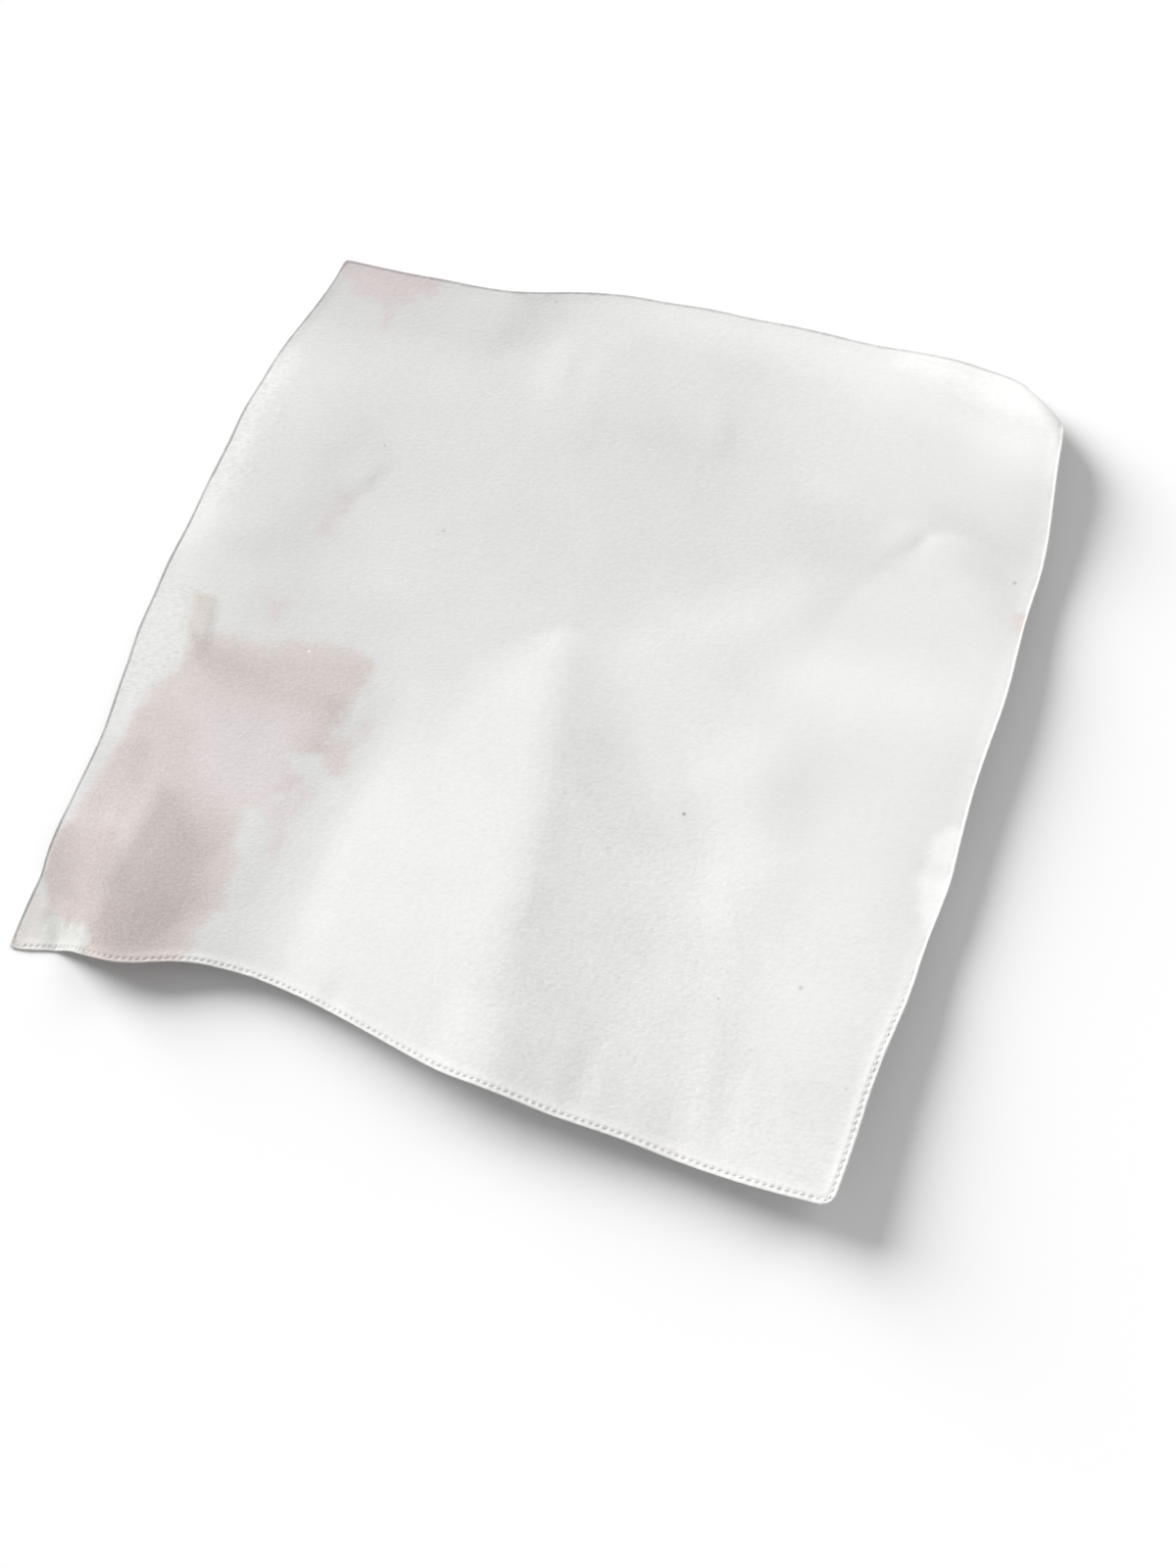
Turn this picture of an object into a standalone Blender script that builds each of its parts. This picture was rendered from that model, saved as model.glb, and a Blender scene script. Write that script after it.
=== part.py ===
"""Bandana: one square of thin cotton with a narrow turned hem, lying in soft folds.

Metres, +Z up. The cloth rests on z = 0, and the centre of its outline's box is the origin.
Its sides run along X and Y. Folds and bows are given in millimetres of the flat cloth,
measured from its middle.
"""
import math

import bmesh
import bpy
import numpy as np

MM = 0.001

# Driving dimensions
SIDE = 0.530               # hemmed side of the square
CLOTH_THICKNESS = 0.0012   # one layer with its slack, drawn full
HEM_THICKNESS = 0.0018     # the turned hem, three layers
HEM_WIDTH = 0.0045
HEM_STEP = 0.0010          # width of the slope from the hem down to the single layer
CELL = 0.0145              # mesh cell over most of the cloth
FINE_CELL = 0.0050         # mesh cell in the band along the two sides that meet at the curl
FINE_BAND = 0.070

# Where the cloth settles: folds lower than SETTLE_DEPTH lie flat on the surface
SETTLE_DEPTH = 1.8 * MM
SETTLE_BLEND = 1.7 * MM

# The curled corner: past an arc about CURL_CENTRE, which leaves the +X and +Y sides smoothly,
# the cloth rolls under, down to the surface
CURL_CENTRE = (0.188, 0.188)
CURL_START = SIDE / 2.0 - CURL_CENTRE[0]   # radius of that arc
CURL_RADIUS = 0.0105                       # radius of the roll itself

# Folds: a crest from start to end, its height at both, and how far each flank reaches.
# left and right are as seen walking from start to end; tip is the reach past both ends.
# opening > 0 lets the fold open from a point over that share of its length.
# ease is the share of a flank that rounds into its crest and into its foot.
FOLDS = (
    # name          x0    y0    x1    y1     h0     h1  left right  tip opening ease
    ("left_roll",  -246,  120, -262, -190,   6.2,   8.0, 150,   90, 120, 0.0, 0.40),
    ("tl_lift",    -290,  325, -130,  318,  15.0,  10.0, 190,  160, 120, 0.0, 0.40),
    ("top_roll",    -30,  226,  290,  226,   5.0,   6.0,  90,  150,  90, 0.0, 0.40),
    ("lobe",          4,   22,   66, -290,  10.0,  13.0, 121,  140,  60, 0.75, 0.14),
    ("second_lobe",  70,   14,  112,  -46,   3.2,   2.6, 150,   46,  66, 0.0, 0.45),
    ("palm_ridge", -210,  -60, -205, -262,   1.0,   8.0, 108,   84,  50, 0.0, 0.22),
    ("east_rise",   172,    0,  176, -190,   2.0,   2.0, 160,   62,  60, 0.0, 0.40),
    ("east_lift",   310, -330,  310,  330,  15.0,  14.0, 260,  260,  60, 0.0, 0.35),
    ("right_fold",  198,  138,  310,   20,   3.6,   6.0,  56,  165, 120, 0.9, 0.20),
    ("tr_rise",     300,  215,  300,  300,   7.0,   7.0, 100,  150, 100, 0.0, 0.40),
    ("south_lift", -170, -300,  290, -300,  15.0,   8.0, 240,  240, 130, 0.0, 0.30),
    ("se_lift",     330, -330,  330, -330,   4.0,   4.0, 350,  350, 350, 0.0, 0.30),
    ("bl_drop",    -280, -275, -280, -275, -26.0, -26.0, 100,  100, 100, 0.0, 0.30),
)

# Bows: where a side leaves its straight line in plan, + outward
BOWS = (
    # side     centre reach amount
    ("left",     200,   80,   5.5),
    ("left",     105,  170,  17.0),
    ("left",     135,   30,   1.4),
    ("left",      40,   35,  -1.2),
    ("left",     -30,  140,  13.5),
    ("left",     -40,   30,   1.2),
    ("left",    -150,   42,   2.2),
    ("left",    -220,   90,   4.0),
    ("left",     265,   90,  -8.0),
    ("top",     -200,  110,  -4.0),
    ("top",     -135,   60,  -3.0),
    ("top",      -40,   90,   9.0),
    ("top",       15,   40,   1.4),
    ("top",       50,   90,   6.0),
    ("top",      170,   80,  -3.4),
    ("top",      230,   50,  -4.0),
    ("top",      262,  112, -14.0),
    ("right",    140,   60,   3.0),
    ("right",     80,  140,   6.0),
    ("right",      0,   50,  -1.2),
    ("right",    -20,  150,   8.0),
    ("right",   -100,   90,   5.0),
    ("right",   -112,   45,  -2.6),
    ("right",   -160,  120,   6.0),
    ("right",   -255,   70,   4.0),
    ("right",    265,   90,  -7.0),
    ("bottom",  -232,   30,  -3.2),
    ("bottom",  -182,   36,   2.2),
    ("bottom",  -175,   48,   4.4),
    ("bottom",   -80,   70,  -2.0),
    ("bottom",  -110,  160, -22.0),
    ("bottom",   -10,   80,  -4.0),
    ("bottom",   105,   50,   2.2),
    ("bottom",   220,  140,   7.0),
)


def ramp(share, ease):
    """0 to 1 with a straight middle and rounded ends, each `ease` of the way long."""
    share = np.clip(share, 0.0, 1.0)
    slope = 1.0 / (1.0 - ease)
    start = slope * share**2 / (2.0 * ease)
    middle = slope * (share - ease / 2.0)
    end = 1.0 - slope * (1.0 - share)**2 / (2.0 * ease)
    return np.where(share < ease, start, np.where(share > 1.0 - ease, end, middle))


def smooth(share):
    share = np.clip(share, 0.0, 1.0)
    return share * share * (3.0 - 2.0 * share)


def bell(distance):
    """1 at the centre, 0 from a distance of 1 on."""
    return np.cos(math.pi / 2.0 * np.clip(distance, -1.0, 1.0))**2


def fold_height(u, v, fold):
    """Height in millimetres that one fold adds at the flat point (u, v), in millimetres."""
    _, x0, y0, x1, y1, start, end, left, right, tip, opening, ease = fold
    length = math.hypot(x1 - x0, y1 - y0)
    run_x = (x1 - x0) / length if length else 1.0
    run_y = (y1 - y0) / length if length else 0.0
    along = (u - x0) * run_x + (v - y0) * run_y
    across = (v - y0) * run_x - (u - x0) * run_y
    past_end = along - np.clip(along, 0.0, length)
    share = np.clip(along, 0.0, length) / length if length else 0.0 * along
    opened = np.ones_like(share)
    if opening:
        opened = np.sqrt(1.0 - (1.0 - np.clip(share / opening, 1e-4, 1.0))**2)
    flank = np.where(across > 0.0, left, right) * opened
    height = (start + (end - start) * smooth(share)) * opened
    return height * (1.0 - ramp(np.hypot(across / flank, past_end / (tip * opened)), ease))


def settled_height(u, v):
    """Height in metres of the underside over the flat point (u, v), in metres."""
    raised = sum(fold_height(u / MM, v / MM, fold) for fold in FOLDS) * MM - SETTLE_DEPTH
    blend = (raised + SETTLE_BLEND)**2 / (4.0 * SETTLE_BLEND)
    return np.where(raised > SETTLE_BLEND, raised, np.where(raised < -SETTLE_BLEND, 0.0, blend))


def bow(side, position):
    """Outward shift in metres of one side at a position along it, in metres."""
    rows = [row for row in BOWS if row[0] == side]
    return sum(row[3] * MM * bell((position / MM - row[1]) / row[2]) for row in rows)


def bowed_plan(u, v):
    """Plan position of the flat point (u, v): each side's bow dies out towards the other side."""
    half = SIDE / 2.0
    near_right = ((u + half) / SIDE)**2
    near_left = ((half - u) / SIDE)**2
    near_top = ((v + half) / SIDE)**2
    near_bottom = ((half - v) / SIDE)**2
    x = u + bow("right", v) * near_right - bow("left", v) * near_left
    y = v + bow("top", u) * near_top - bow("bottom", u) * near_bottom
    return x, y


def cloth_surface(u, v):
    """Underside of the cloth over the flat points (u, v): columns x, y, z in metres."""
    out_x = np.maximum(u - CURL_CENTRE[0], 0.0)
    out_y = np.maximum(v - CURL_CENTRE[1], 0.0)
    out = np.maximum(np.hypot(out_x, out_y), CURL_RADIUS)
    past = np.maximum(out - CURL_START, 0.0)
    turn = np.minimum(past / CURL_RADIUS, math.pi)
    under = past - turn * CURL_RADIUS
    reach = CURL_RADIUS * np.sin(turn) - under
    x, y = bowed_plan(u, v)
    x = x + (reach - past) * out_x / out
    y = y + (reach - past) * out_y / out
    upper = (1.0 + np.cos(turn)) / 2.0
    z = settled_height(u, v) * upper + HEM_THICKNESS * (1.0 - upper)
    return np.stack([x, y, z], axis=-1)


def grid_lines():
    """Mesh lines across the cloth: hem, even cells, finer cells towards the + end, hem."""
    half = SIDE / 2.0
    hem = half - HEM_WIDTH
    inside = hem - HEM_STEP
    fine_start = half - FINE_BAND
    even = np.linspace(-inside, fine_start, round((fine_start + inside) / CELL) + 1)
    fine = np.linspace(fine_start, inside, round((inside - fine_start) / FINE_CELL) + 1)
    return np.concatenate([[-half, -hem], even, fine[1:], [hem, half]])


def cloth_mesh(name):
    """One-sided mesh of the cloth's underside, its faces towards the upper side."""
    lines = grid_lines()
    count = len(lines)
    u, v = np.meshgrid(lines, lines)
    points = cloth_surface(u, v).reshape(-1, 3)
    bm = bmesh.new()
    verts = [bm.verts.new(point) for point in points]
    for row in range(count - 1):
        for column in range(count - 1):
            corner = row * count + column
            ring = (corner, corner + 1, corner + count + 1, corner + count)
            bm.faces.new([verts[index] for index in ring])
    mesh = bpy.data.meshes.new(name)
    bm.to_mesh(mesh)
    bm.free()
    return mesh


def thicken(cloth):
    """Give the cloth its thickness on the upper side, with a thicker hem all round."""
    count = len(grid_lines())
    hem_lines = (0, 1, count - 2, count - 1)
    band = [index for index in range(count * count)
            if index // count in hem_lines or index % count in hem_lines]
    hem = cloth.vertex_groups.new(name="hem")
    hem.add(band, 1.0, "REPLACE")
    solidify = cloth.modifiers.new("thickness", "SOLIDIFY")
    solidify.thickness = HEM_THICKNESS
    solidify.offset = 1.0
    solidify.vertex_group = hem.name
    solidify.thickness_vertex_group = CLOTH_THICKNESS / HEM_THICKNESS


def triangulate(cloth):
    """Split the slightly twisted cells along their shorter diagonals."""
    split = cloth.modifiers.new("triangles", "TRIANGULATE")
    split.quad_method = "SHORTEST_DIAGONAL"


def stand_on_origin(cloth):
    """Put the middle of the cloth's box over the origin."""
    bpy.context.view_layer.update()
    evaluated = cloth.evaluated_get(bpy.context.evaluated_depsgraph_get())
    corners = np.array(evaluated.bound_box)
    middle = (corners.min(axis=0) + corners.max(axis=0)) / 2.0
    cloth.location = (-middle[0], -middle[1], 0.0)


def cotton():
    """Plain off-white cotton, matt."""
    material = bpy.data.materials.new("off_white_cotton")
    material.use_nodes = True
    shader = material.node_tree.nodes["Principled BSDF"]
    shader.inputs["Base Color"].default_value = (0.80, 0.79, 0.77, 1.0)
    shader.inputs["Roughness"].default_value = 0.85
    shader.inputs["Metallic"].default_value = 0.0
    return material


def build():
    for old in list(bpy.data.objects):
        bpy.data.objects.remove(old, do_unlink=True)
    cloth = bpy.data.objects.new("bandana_cloth", cloth_mesh("bandana_cloth"))
    bpy.context.scene.collection.objects.link(cloth)
    cloth.data.materials.append(cotton())
    cloth.data.shade_smooth()
    thicken(cloth)
    triangulate(cloth)
    stand_on_origin(cloth)


build()
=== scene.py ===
"""Looks for the bandana: off-white cotton square, turned hem, stitching, floor, light, camera.

Metres, +Z up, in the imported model's frame. Folds, bows, creases and marks are given in
millimetres of the flat cloth, measured from its middle: u along X, v along Y.
"""
import math

import bpy
import numpy as np
from mathutils import Matrix, Vector


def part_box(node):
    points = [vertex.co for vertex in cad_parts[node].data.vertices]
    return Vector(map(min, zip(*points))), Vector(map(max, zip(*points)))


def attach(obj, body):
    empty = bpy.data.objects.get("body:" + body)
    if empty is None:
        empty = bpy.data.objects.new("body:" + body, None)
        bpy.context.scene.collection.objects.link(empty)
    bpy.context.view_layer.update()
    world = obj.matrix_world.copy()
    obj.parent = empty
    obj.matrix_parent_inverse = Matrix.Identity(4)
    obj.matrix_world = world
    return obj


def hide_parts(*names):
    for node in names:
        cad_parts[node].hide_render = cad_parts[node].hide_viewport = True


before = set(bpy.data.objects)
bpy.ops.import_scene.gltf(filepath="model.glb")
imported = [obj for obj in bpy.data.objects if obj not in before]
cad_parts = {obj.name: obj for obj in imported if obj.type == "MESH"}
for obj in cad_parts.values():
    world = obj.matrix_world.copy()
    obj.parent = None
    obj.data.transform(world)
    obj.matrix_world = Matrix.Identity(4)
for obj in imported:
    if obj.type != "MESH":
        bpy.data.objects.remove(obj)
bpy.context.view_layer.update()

NODE = "bandana_cloth"
BODY = "root"
MM = 0.001

# ---------------------------------------------------------------- driving dimensions
SIDE = 0.530               # hemmed side of the square
HALF = SIDE / 2.0
TIP_HEIGHT = 0.0018        # underside of the curled tip, as in the solid
HEM_ZONE = 0.0090          # width of the finely meshed band that holds the hem
STITCH_INSET = 0.0029      # stitch line, from the edge
STITCHES = 126             # on each side
STITCH_PITCH = 2.0 * (HALF - STITCH_INSET) / STITCHES
HOLE_RADIUS = 0.00042      # of the dimple at each needle hole
HOLE_DEPTH = 0.00026
PUCKER = 0.00012           # how far each stitch pulls the hem down
PUCKER_REACH = 0.0026      # and how far from its line
BEAD_INSET = 0.0012        # the plump bead of the hem, from the edge
BEAD_REACH = 0.0022
CELLS = 168                # mesh cells across the cloth inside the hem zone
SPLIT = 3                  # hem cells beside one of those

SETTLE_DEPTH = 1.8 * MM    # folds lower than this lie flat
SETTLE_BLEND = 1.7 * MM

# The curled corner: past an arc about CURL_CENTRE, which leaves the +X and +Y sides smoothly,
# the cloth rolls under, down to the surface
CURL_CENTRE = (0.188, 0.188)
CURL_START = HALF - CURL_CENTRE[0]
CURL_RADIUS = 0.0105

# Main folds, the same rows as the solid's: crest from start to end, height at both, reach of
# each flank and past the ends; opening > 0 opens a fold from a point; ease rounds its flanks.
FOLDS = (
    # name          x0    y0    x1    y1     h0     h1  left right  tip opening ease
    ("left_roll",  -246,  120, -262, -190,   6.2,   8.0, 150,   90, 120, 0.0, 0.40),
    ("tl_lift",    -290,  325, -130,  318,  15.0,  10.0, 190,  160, 120, 0.0, 0.40),
    ("top_roll",    -30,  226,  290,  226,   5.0,   6.0,  90,  150,  90, 0.0, 0.40),
    ("lobe",          4,   22,   66, -290,  10.0,  13.0, 121,  140,  60, 0.75, 0.14),
    ("second_lobe",  70,   14,  112,  -46,   3.2,   2.6, 150,   46,  66, 0.0, 0.45),
    ("palm_ridge", -210,  -60, -205, -262,   1.0,   8.0, 108,   84,  50, 0.0, 0.22),
    ("east_rise",   172,    0,  176, -190,   2.0,   2.0, 160,   62,  60, 0.0, 0.40),
    ("east_lift",   310, -330,  310,  330,  15.0,  14.0, 260,  260,  60, 0.0, 0.35),
    ("right_fold",  198,  138,  310,   20,   3.6,   6.0,  56,  165, 120, 0.9, 0.20),
    ("tr_rise",     300,  215,  300,  300,   7.0,   7.0, 100,  150, 100, 0.0, 0.40),
    ("south_lift", -170, -300,  290, -300,  15.0,   8.0, 240,  240, 130, 0.0, 0.30),
    ("se_lift",     330, -330,  330, -330,   4.0,   4.0, 350,  350, 350, 0.0, 0.30),
    ("bl_drop",    -280, -275, -280, -275, -26.0, -26.0, 100,  100, 100, 0.0, 0.30),
)

# Small creases on top of them: a line that dies out at both ends and is highest at `peak` of
# its length. left and right are each flank's reach, as seen walking from start to end.
CREASES = (
    # name           x0    y0    x1    y1  height left right peak
    ("top_dart",    -76,  234,  -54,  164,   0.5,   12,   26, 0.45),
    ("top_nick",     38,  204,   64,  160,   0.4,    9,   18, 0.50),
    ("left_nick",  -152,  128, -174,   78,   0.55,  10,   26, 0.45),
    ("spike",      -229,   -2, -214,  -58,   0.7,    7,   16, 0.55),
    ("apex_nick",   193,  142,  172,  104,   0.8,    8,   22, 0.25),
    ("apex_fold",   192,  136,  256,   96,   0.15,  26,   16, 0.30),
    ("heel_edge",  -204, -128, -214, -250,   0.6,   16,   30, 0.40),
    ("toe_bend",   -268, -216, -196, -252,  -0.9,    9,    8, 0.50),
    ("lobe_edge",     6,   24,   50, -190,   0.25,  12,   26, 0.80),
    ("hem_dip_a",   118, -270,  110, -196,  -0.6,   15,   13, 0.40),
    ("hem_dip_b",   204, -266,  182, -180,  -0.6,   13,   15, 0.50),
    ("hem_dip_c",   -44, -270,  -40, -232,  -0.5,   12,   12, 0.10),
    ("edge_dip_a",  272,  -76,  236,  -70,  -0.5,   10,   10, 0.10),
)

# Bows: where a side leaves its straight line in plan, + outward
BOWS = (
    # side     centre reach amount
    ("left",     200,   80,   5.5),
    ("left",     105,  170,  17.0),
    ("left",     135,   30,   1.4),
    ("left",      40,   35,  -1.2),
    ("left",     -30,  140,  13.5),
    ("left",     -40,   30,   1.2),
    ("left",    -150,   42,   2.2),
    ("left",    -220,   90,   4.0),
    ("left",     265,   90,  -8.0),
    ("top",     -200,  110,  -4.0),
    ("top",     -135,   60,  -3.0),
    ("top",      -40,   90,   9.0),
    ("top",       15,   40,   1.4),
    ("top",       50,   90,   6.0),
    ("top",      170,   80,  -3.4),
    ("top",      230,   50,  -4.0),
    ("top",      262,  112, -14.0),
    ("right",    140,   60,   3.0),
    ("right",     80,  140,   6.0),
    ("right",      0,   50,  -1.2),
    ("right",    -20,  150,   8.0),
    ("right",   -100,   90,   5.0),
    ("right",   -112,   45,  -2.6),
    ("right",   -160,  120,   6.0),
    ("right",   -255,   70,   4.0),
    ("right",    265,   90,  -7.0),
    ("bottom",  -232,   30,  -3.2),
    ("bottom",  -182,   36,   2.2),
    ("bottom",  -175,   48,   4.4),
    ("bottom",   -80,   70,  -2.0),
    ("bottom",  -110,  160, -22.0),
    ("bottom",   -10,   80,  -4.0),
    ("bottom",   105,   50,   2.2),
    ("bottom",   220,  140,   7.0),
)

# Plan radius of each corner
CORNERS = (
    # name     u   v  radius
    ("tl",   -1,   1,  3.0),
    ("tr",    1,   1,  4.0),
    ("br",    1,  -1,  7.0),
    ("bl",   -1,  -1,  1.5),
)

# The hem in millimetres, as heights over the lying cloth's underside at a distance from the
# edge: the cloth's upper side and underside where the turn lies on top, and where it is beneath
HEM_PROFILE = (
    # from edge  upper  under  upper  under
    (0.0,        0.80,  0.80,  0.60,  0.60),
    (0.15,       1.02,  0.40,  0.86,  0.20),
    (0.45,       1.16,  0.12,  1.02, -0.10),
    (0.9,        1.18,  0.00,  0.98, -0.35),
    (1.4,        1.10,  0.00,  0.84, -0.42),
    (1.9,        1.02,  0.00,  0.79, -0.42),
    (2.4,        0.98,  0.00,  0.76, -0.42),
    (2.7,        0.94,  0.00,  0.75, -0.42),
    (2.9,        0.93,  0.00,  0.74, -0.42),
    (3.1,        0.94,  0.00,  0.73, -0.42),
    (3.9,        1.00,  0.00,  0.70, -0.42),
    (4.5,        1.02,  0.00,  0.67, -0.40),
    (5.4,        0.86,  0.50,  0.62,  0.15),
    (6.9,        0.66,  0.16,  0.55,  0.05),
    (9.0,        0.50,  0.00,  0.50,  0.00),
)
UPPER_ON_TOP, UNDER_ON_TOP, UPPER_BENEATH, UNDER_BENEATH = 1, 2, 3, 4
UNDERSIDE_LINES = (0, 3, 11, 12, 14)   # rows of the profile that the underside is meshed at
TURN_ENDS = -0.155         # the turn lies on top along the bottom and, up to here, the right side
TURN_FADE = 0.060
SIDE_FADE = 0.12           # the share of HALF over which one pair of sides gives way to the other


# ---------------------------------------------------------------- the cloth's surface
def ramp(share, ease):
    """0 to 1 with a straight middle and rounded ends, each `ease` of the way long."""
    share = np.clip(share, 0.0, 1.0)
    slope = 1.0 / (1.0 - ease)
    start = slope * share**2 / (2.0 * ease)
    middle = slope * (share - ease / 2.0)
    end = 1.0 - slope * (1.0 - share)**2 / (2.0 * ease)
    return np.where(share < ease, start, np.where(share > 1.0 - ease, end, middle))


def smooth(share):
    share = np.clip(share, 0.0, 1.0)
    return share * share * (3.0 - 2.0 * share)


def bell(distance):
    """1 at the centre, 0 from a distance of 1 on."""
    return np.cos(math.pi / 2.0 * np.clip(distance, -1.0, 1.0))**2


def fold_height(u, v, fold):
    """Height in millimetres that one fold adds at the flat point (u, v), in millimetres."""
    _, x0, y0, x1, y1, start, end, left, right, tip, opening, ease = fold
    length = math.hypot(x1 - x0, y1 - y0)
    run_x = (x1 - x0) / length if length else 1.0
    run_y = (y1 - y0) / length if length else 0.0
    along = (u - x0) * run_x + (v - y0) * run_y
    across = (v - y0) * run_x - (u - x0) * run_y
    past_end = along - np.clip(along, 0.0, length)
    share = np.clip(along, 0.0, length) / length if length else 0.0 * along
    opened = np.ones_like(share)
    if opening:
        opened = np.sqrt(1.0 - (1.0 - np.clip(share / opening, 1e-4, 1.0))**2)
    flank = np.where(across > 0.0, left, right) * opened
    height = (start + (end - start) * smooth(share)) * opened
    return height * (1.0 - ramp(np.hypot(across / flank, past_end / (tip * opened)), ease))


def settled_height(u, v):
    """Height in metres of the underside over the flat point (u, v), in metres."""
    raised = sum(fold_height(u / MM, v / MM, fold) for fold in FOLDS) * MM - SETTLE_DEPTH
    blend = (raised + SETTLE_BLEND)**2 / (4.0 * SETTLE_BLEND)
    return np.where(raised > SETTLE_BLEND, raised, np.where(raised < -SETTLE_BLEND, 0.0, blend))


def crease_height(u, v):
    """Height in metres that the small creases add at the flat point (u, v), in metres."""
    total = np.zeros_like(u)
    for _, x0, y0, x1, y1, height, left, right, peak in CREASES:
        length = math.hypot(x1 - x0, y1 - y0)
        run_x, run_y = (x1 - x0) / length, (y1 - y0) / length
        along = ((u / MM - x0) * run_x + (v / MM - y0) * run_y) / length
        across = (v / MM - y0) * run_x - (u / MM - x0) * run_y
        taper = bell((along - peak) / np.where(along < peak, peak, 1.0 - peak))
        total += height * MM * taper * bell(across / np.where(across > 0.0, left, right))
    return total


def bow(side, position):
    """Outward shift in metres of one side at a position along it, in metres."""
    rows = [row for row in BOWS if row[0] == side]
    return sum(row[3] * MM * bell((position / MM - row[1]) / row[2]) for row in rows)


def bowed_plan(u, v):
    """Plan position of the flat point (u, v): each side's bow dies out towards the other side."""
    near_right = ((u + HALF) / SIDE)**2
    near_left = ((HALF - u) / SIDE)**2
    near_top = ((v + HALF) / SIDE)**2
    near_bottom = ((HALF - v) / SIDE)**2
    x = u + bow("right", v) * near_right - bow("left", v) * near_left
    y = v + bow("top", u) * near_top - bow("bottom", u) * near_bottom
    return x, y


def rounded_corners(u, v):
    """Draw the flat square's corners in to their radii."""
    u, v = u.copy(), v.copy()
    for _, side_u, side_v, radius in CORNERS:
        radius = radius * MM
        a = (u * side_u - HALF + radius) / radius
        b = (v * side_v - HALF + radius) / radius
        inside = (a > 0.0) & (b > 0.0)
        a, b = np.clip(a, 0.0, 1.0), np.clip(b, 0.0, 1.0)
        round_u = side_u * (HALF - radius + radius * a * np.sqrt(1.0 - b * b / 2.0))
        round_v = side_v * (HALF - radius + radius * b * np.sqrt(1.0 - a * a / 2.0))
        u, v = np.where(inside, round_u, u), np.where(inside, round_v, v)
    return u, v


def underside(u, v):
    """Underside of the cloth over the flat points (u, v): columns x, y, z in metres."""
    u, v = rounded_corners(u, v)
    out_x = np.maximum(u - CURL_CENTRE[0], 0.0)
    out_y = np.maximum(v - CURL_CENTRE[1], 0.0)
    out = np.maximum(np.hypot(out_x, out_y), CURL_RADIUS)
    past = np.maximum(out - CURL_START, 0.0)
    turn = np.minimum(past / CURL_RADIUS, math.pi)
    under = past - turn * CURL_RADIUS
    reach = CURL_RADIUS * np.sin(turn) - under
    x, y = bowed_plan(u, v)
    x = x + (reach - past) * out_x / out
    y = y + (reach - past) * out_y / out
    upper = (1.0 + np.cos(turn)) / 2.0
    height = settled_height(u, v) + crease_height(u, v)
    z = height * upper + TIP_HEIGHT * (1.0 - upper)
    return np.stack([x, y, z], axis=-1)


def normals(u, v):
    """Unit normals of that surface, towards the cloth's upper side."""
    step = 0.0002
    du = underside(np.minimum(u + step, HALF), v) - underside(np.maximum(u - step, -HALF), v)
    dv = underside(u, np.minimum(v + step, HALF)) - underside(u, np.maximum(v - step, -HALF))
    normal = np.cross(du, dv)
    return normal / np.linalg.norm(normal, axis=-1, keepdims=True)


def edge_distance(u, v):
    """Distance in metres from the hemmed edge, rounding the corners, up to HEM_ZONE."""
    a = np.clip(1.0 - (HALF - np.abs(u)) / HEM_ZONE, 0.0, 1.0)
    b = np.clip(1.0 - (HALF - np.abs(v)) / HEM_ZONE, 0.0, 1.0)
    return HEM_ZONE * (1.0 - np.sqrt(a * a + b * b - a * a * b * b))


def profile(distance, column):
    """Height in metres of one of the profile's columns at a distance from the edge."""
    rows = np.array(HEM_PROFILE) * MM
    return np.interp(distance, rows[:, 0], rows[:, column])


def lower_right(u, v):
    """1 near the right and bottom sides, 0 near the left and top ones."""
    return smooth(((u - v) / HALF) / SIDE_FADE + 0.5)


def turn_on_top(u, v):
    """1 where the hem is turned to the upper side, 0 where it is turned beneath."""
    return lower_right(u, v) * smooth((TURN_ENDS - v) / TURN_FADE + 0.5)


def hem_height(u, v, on_top, beneath):
    """Height in metres of the hem's profile, from one of each kind of its columns."""
    distance = edge_distance(u, v)
    low = profile(distance, beneath)
    return low + (profile(distance, on_top) - low) * turn_on_top(u, v)


# ---------------------------------------------------------------- irregularity
# Each is one or more noises, as rows of strength, width of the blobs in metres and seed
BEAD_UNEVEN = ((0.16, 0.007, 11), (0.12, 0.0028, 12))
HOLES_UNEVEN = ((0.9, 0.0055, 13),)
OUTLINE_UNEVEN = ((1.5, 0.011, 21), (1.2, 0.005, 22))
LINE_UNEVEN = ((0.4, 0.012, 31),)
RIM_UNEVEN = ((0.3, 0.016, 32),)
STITCHES_UNEVEN = ((0.25, 0.004, 41),)


def soft_noise(u, v, size, seed):
    """Smooth noise from -1 to 1 with blobs about `size` metres wide, the same every run."""
    cells = int(math.ceil((SIDE + 4.0 * size) / size)) + 3
    table = np.random.default_rng(seed).uniform(-1.0, 1.0, (cells, cells))
    x, y = (u + HALF) / size + 1.0, (v + HALF) / size + 1.0
    i, j = np.floor(x).astype(int), np.floor(y).astype(int)
    fx, fy = smooth(x - i), smooth(y - j)
    low = table[j, i] * (1.0 - fx) + table[j, i + 1] * fx
    high = table[j + 1, i] * (1.0 - fx) + table[j + 1, i + 1] * fx
    return low * (1.0 - fy) + high * fy


def unevenness(u, v, noises):
    """Sum of the soft noises of one irregularity."""
    return sum(strength * soft_noise(u, v, size, seed) for strength, size, seed in noises)


def along_edge(u, v):
    """Position in metres along the nearest side."""
    return np.where(np.abs(u) > np.abs(v), v, u)


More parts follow.
